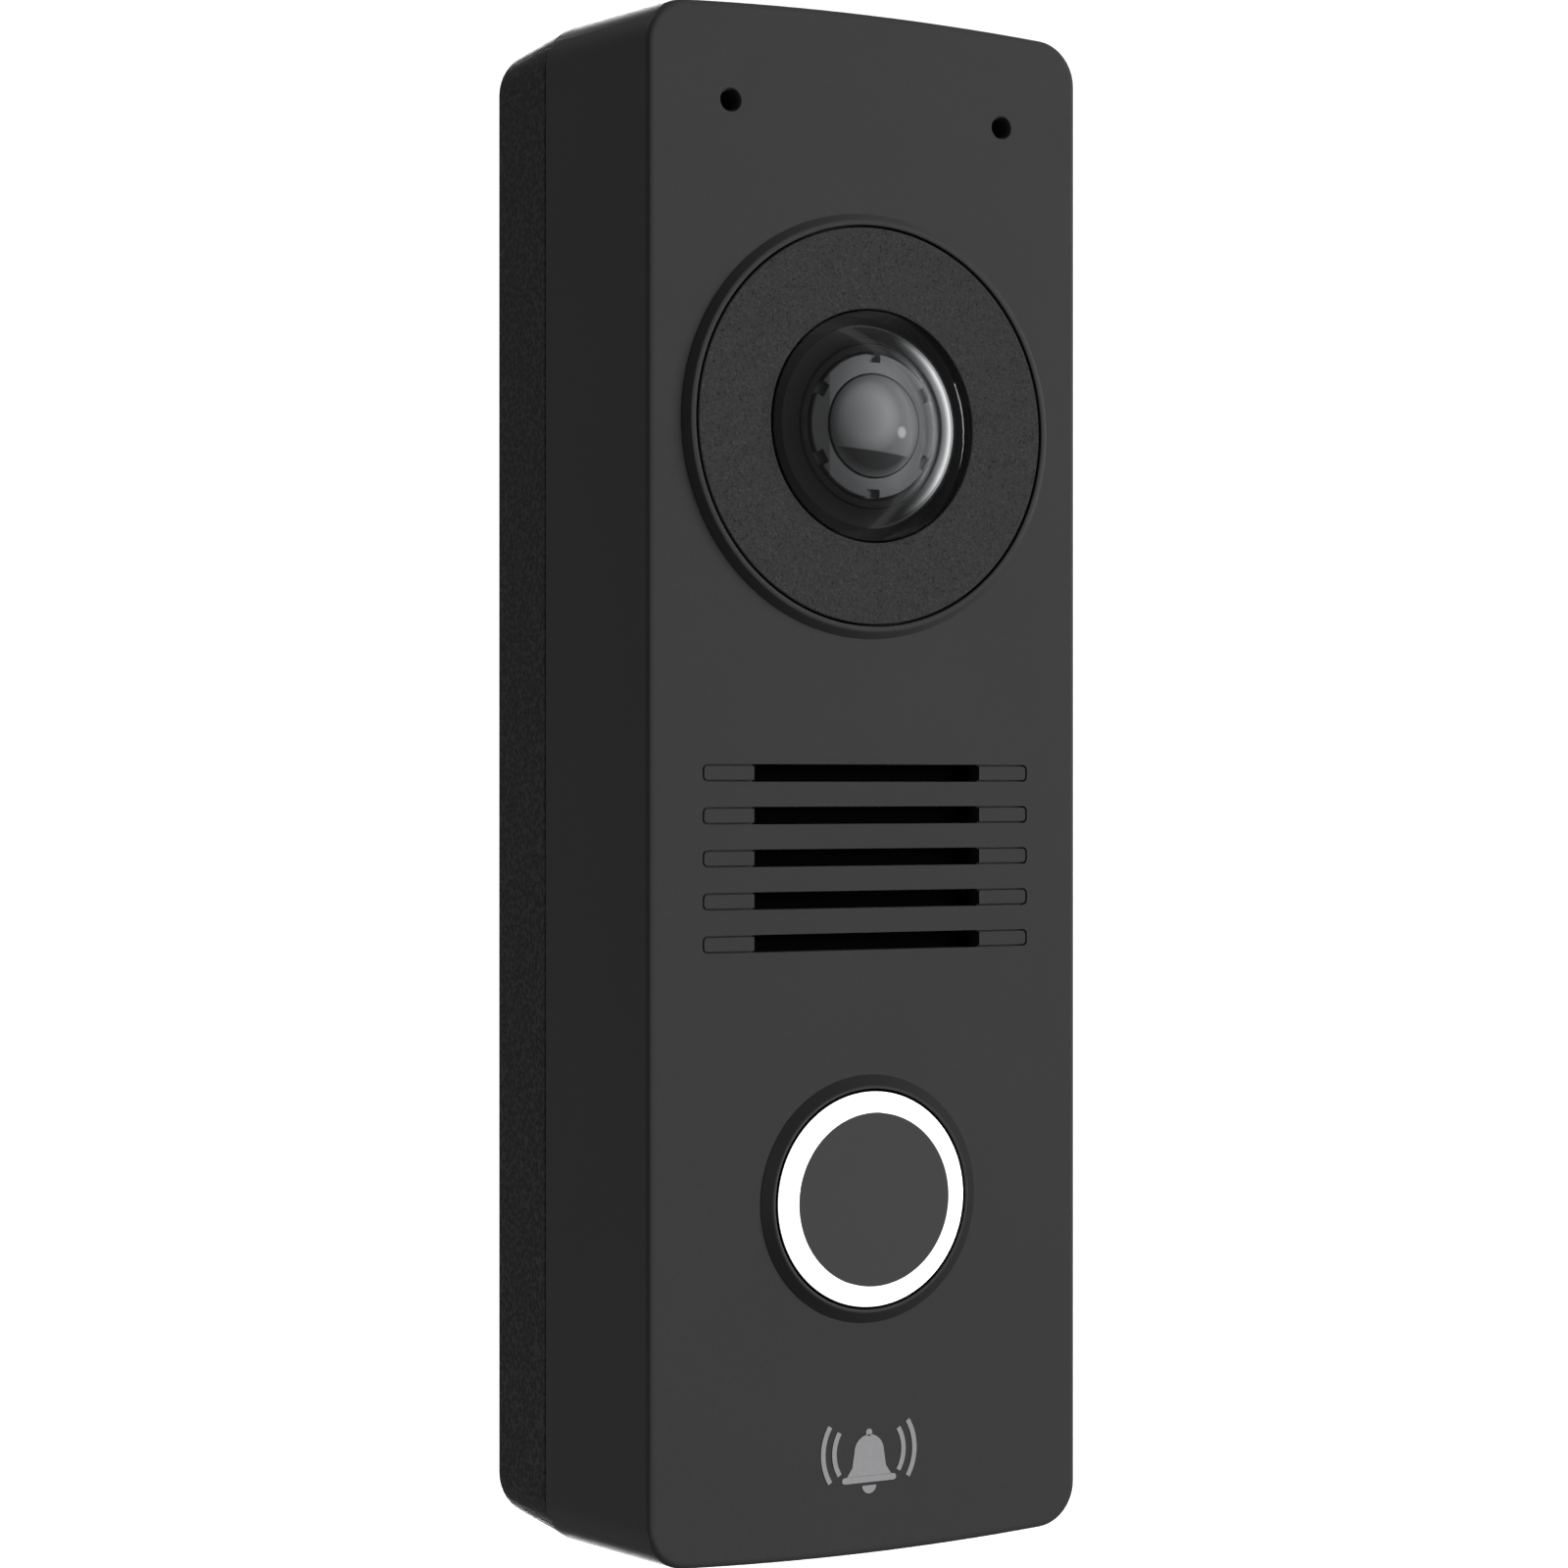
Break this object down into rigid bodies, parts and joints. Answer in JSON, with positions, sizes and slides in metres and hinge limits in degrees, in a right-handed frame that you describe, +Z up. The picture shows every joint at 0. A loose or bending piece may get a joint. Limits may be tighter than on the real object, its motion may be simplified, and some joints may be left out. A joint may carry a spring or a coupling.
{
  "type": "video doorbell",
  "caption": "Slim upright door station with a domed camera window, slotted speaker grille and a round call button inside a white light ring, on a wall box that it tilts out of.",
  "frame": {"origin": "centre of the wall box's flat back face, which lies on the wall", "axes": "+Z up, +Y into the wall, +X to the right as seen from the front; the front faces -Y"},
  "size_m": [0.06, 0.0452, 0.182],
  "materials": {
    "cover_grey": "fine satin, dark grey",
    "rear_grey": "coarse grained matte, near black",
    "trim_grey": "speckled matte dark grey",
    "clear_dome": "clear polished polycarbonate",
    "lens_glass": "coated lens glass",
    "black_plastic": "black moulded plastic",
    "white_light": "white translucent, lit",
    "cap_grey": "satin dark grey",
    "rubber": "black rubber",
    "board_green": "green solder mask on glass fibre board",
    "steel": "plain steel",
    "aluminium": "die cast, satin",
    "amber_film": "amber flexible film",
    "cloth": "black acoustic cloth"
  },
  "bodies": {
    "wall_box": {"rear_housing": "rear_grey", "cable_grommet": "rubber", "security_screw": "steel"},
    "front_unit": {"front_cover": "cover_grey", "camera_trim_disc": "trim_grey", "camera_window": "clear_dome", "lens_glass": "lens_glass", "image_sensor": "lens_glass", "inner_frame": "black_plastic", "lens_retaining_ring": "black_plastic", "lens_barrel": "black_plastic", "lens_holder": "black_plastic", "speaker_frame": "black_plastic", "call_switch_body": "black_plastic", "terminal_block": "black_plastic", "control_switch_body": "black_plastic", "ring_light_source_1": "white_light", "ring_light_source_2": "white_light", "ring_light_source_3": "white_light", "ring_light_source_4": "white_light", "window_seal": "rubber", "speaker_gasket": "rubber", "microphone_boot_left": "rubber", "microphone_boot_right": "rubber", "call_button_seal": "rubber", "thermal_pad": "rubber", "cover_gasket": "rubber", "camera_board": "board_green", "microphone_board": "board_green", "button_board": "board_green", "main_board": "board_green", "window_clamp_screw_1": "steel", "window_clamp_screw_2": "steel", "camera_board_screw_1": "steel", "camera_board_screw_2": "steel", "speaker_magnet": "steel", "microphone_left": "steel", "microphone_right": "steel", "main_board_screw_1": "steel", "main_board_screw_2": "steel", "main_board_screw_3": "steel", "main_board_screw_4": "steel", "network_socket": "steel", "card_socket": "steel", "processor_shield": "steel", "back_plate_screw_1": "steel", "back_plate_screw_2": "steel", "back_plate_screw_3": "steel", "back_plate_screw_4": "steel", "window_clamp_ring": "aluminium", "back_plate": "aluminium", "camera_flex_cable": "amber_film", "speaker_cloth": "cloth"},
    "call_button": {"call_button_cap": "cap_grey", "call_button_light_ring": "white_light", "call_button_carrier": "black_plastic"},
    "call_switch": {"call_switch_stem": "black_plastic"},
    "speaker_diaphragm": {"speaker_cone": "cloth"},
    "card": {"memory_card": "black_plastic"},
    "control_switch": {"control_switch_stem": "white_light"}
  },
  "joints": [
    {"name": "unit_tilt", "type": "hinge", "parent": "wall_box", "child": "front_unit", "pos_m": [0, -0.01495, 0.0911], "axis": [-1, 0, 0], "range_deg": [0, 20]},
    {"name": "call_button_press", "type": "slide", "parent": "front_unit", "child": "call_button", "axis": [0, 1, 0], "range_m": [0, 0.0008], "stiffness_N_per_m": 1500, "springref_m": -0.0006},
    {"name": "call_switch_travel", "type": "slide", "parent": "front_unit", "child": "call_switch", "axis": [0, 1, 0], "range_m": [0, 0.0008]},
    {"name": "speaker_cone_travel", "type": "slide", "parent": "front_unit", "child": "speaker_diaphragm", "axis": [0, 1, 0], "range_m": [-0.0003, 0.0003], "stiffness_N_per_m": 900},
    {"name": "memory_card_slide", "type": "slide", "parent": "front_unit", "child": "card", "axis": [0, 0, -1], "range_m": [0, 0.016]},
    {"name": "control_button_press", "type": "slide", "parent": "front_unit", "child": "control_switch", "axis": [0, -1, 0], "range_m": [0, 0.0008], "stiffness_N_per_m": 800, "springref_m": -0.0004}
  ],
  "couplings": [
    {"joint": "call_switch_travel", "follows": "call_button_press", "ratio": 1}
  ]
}
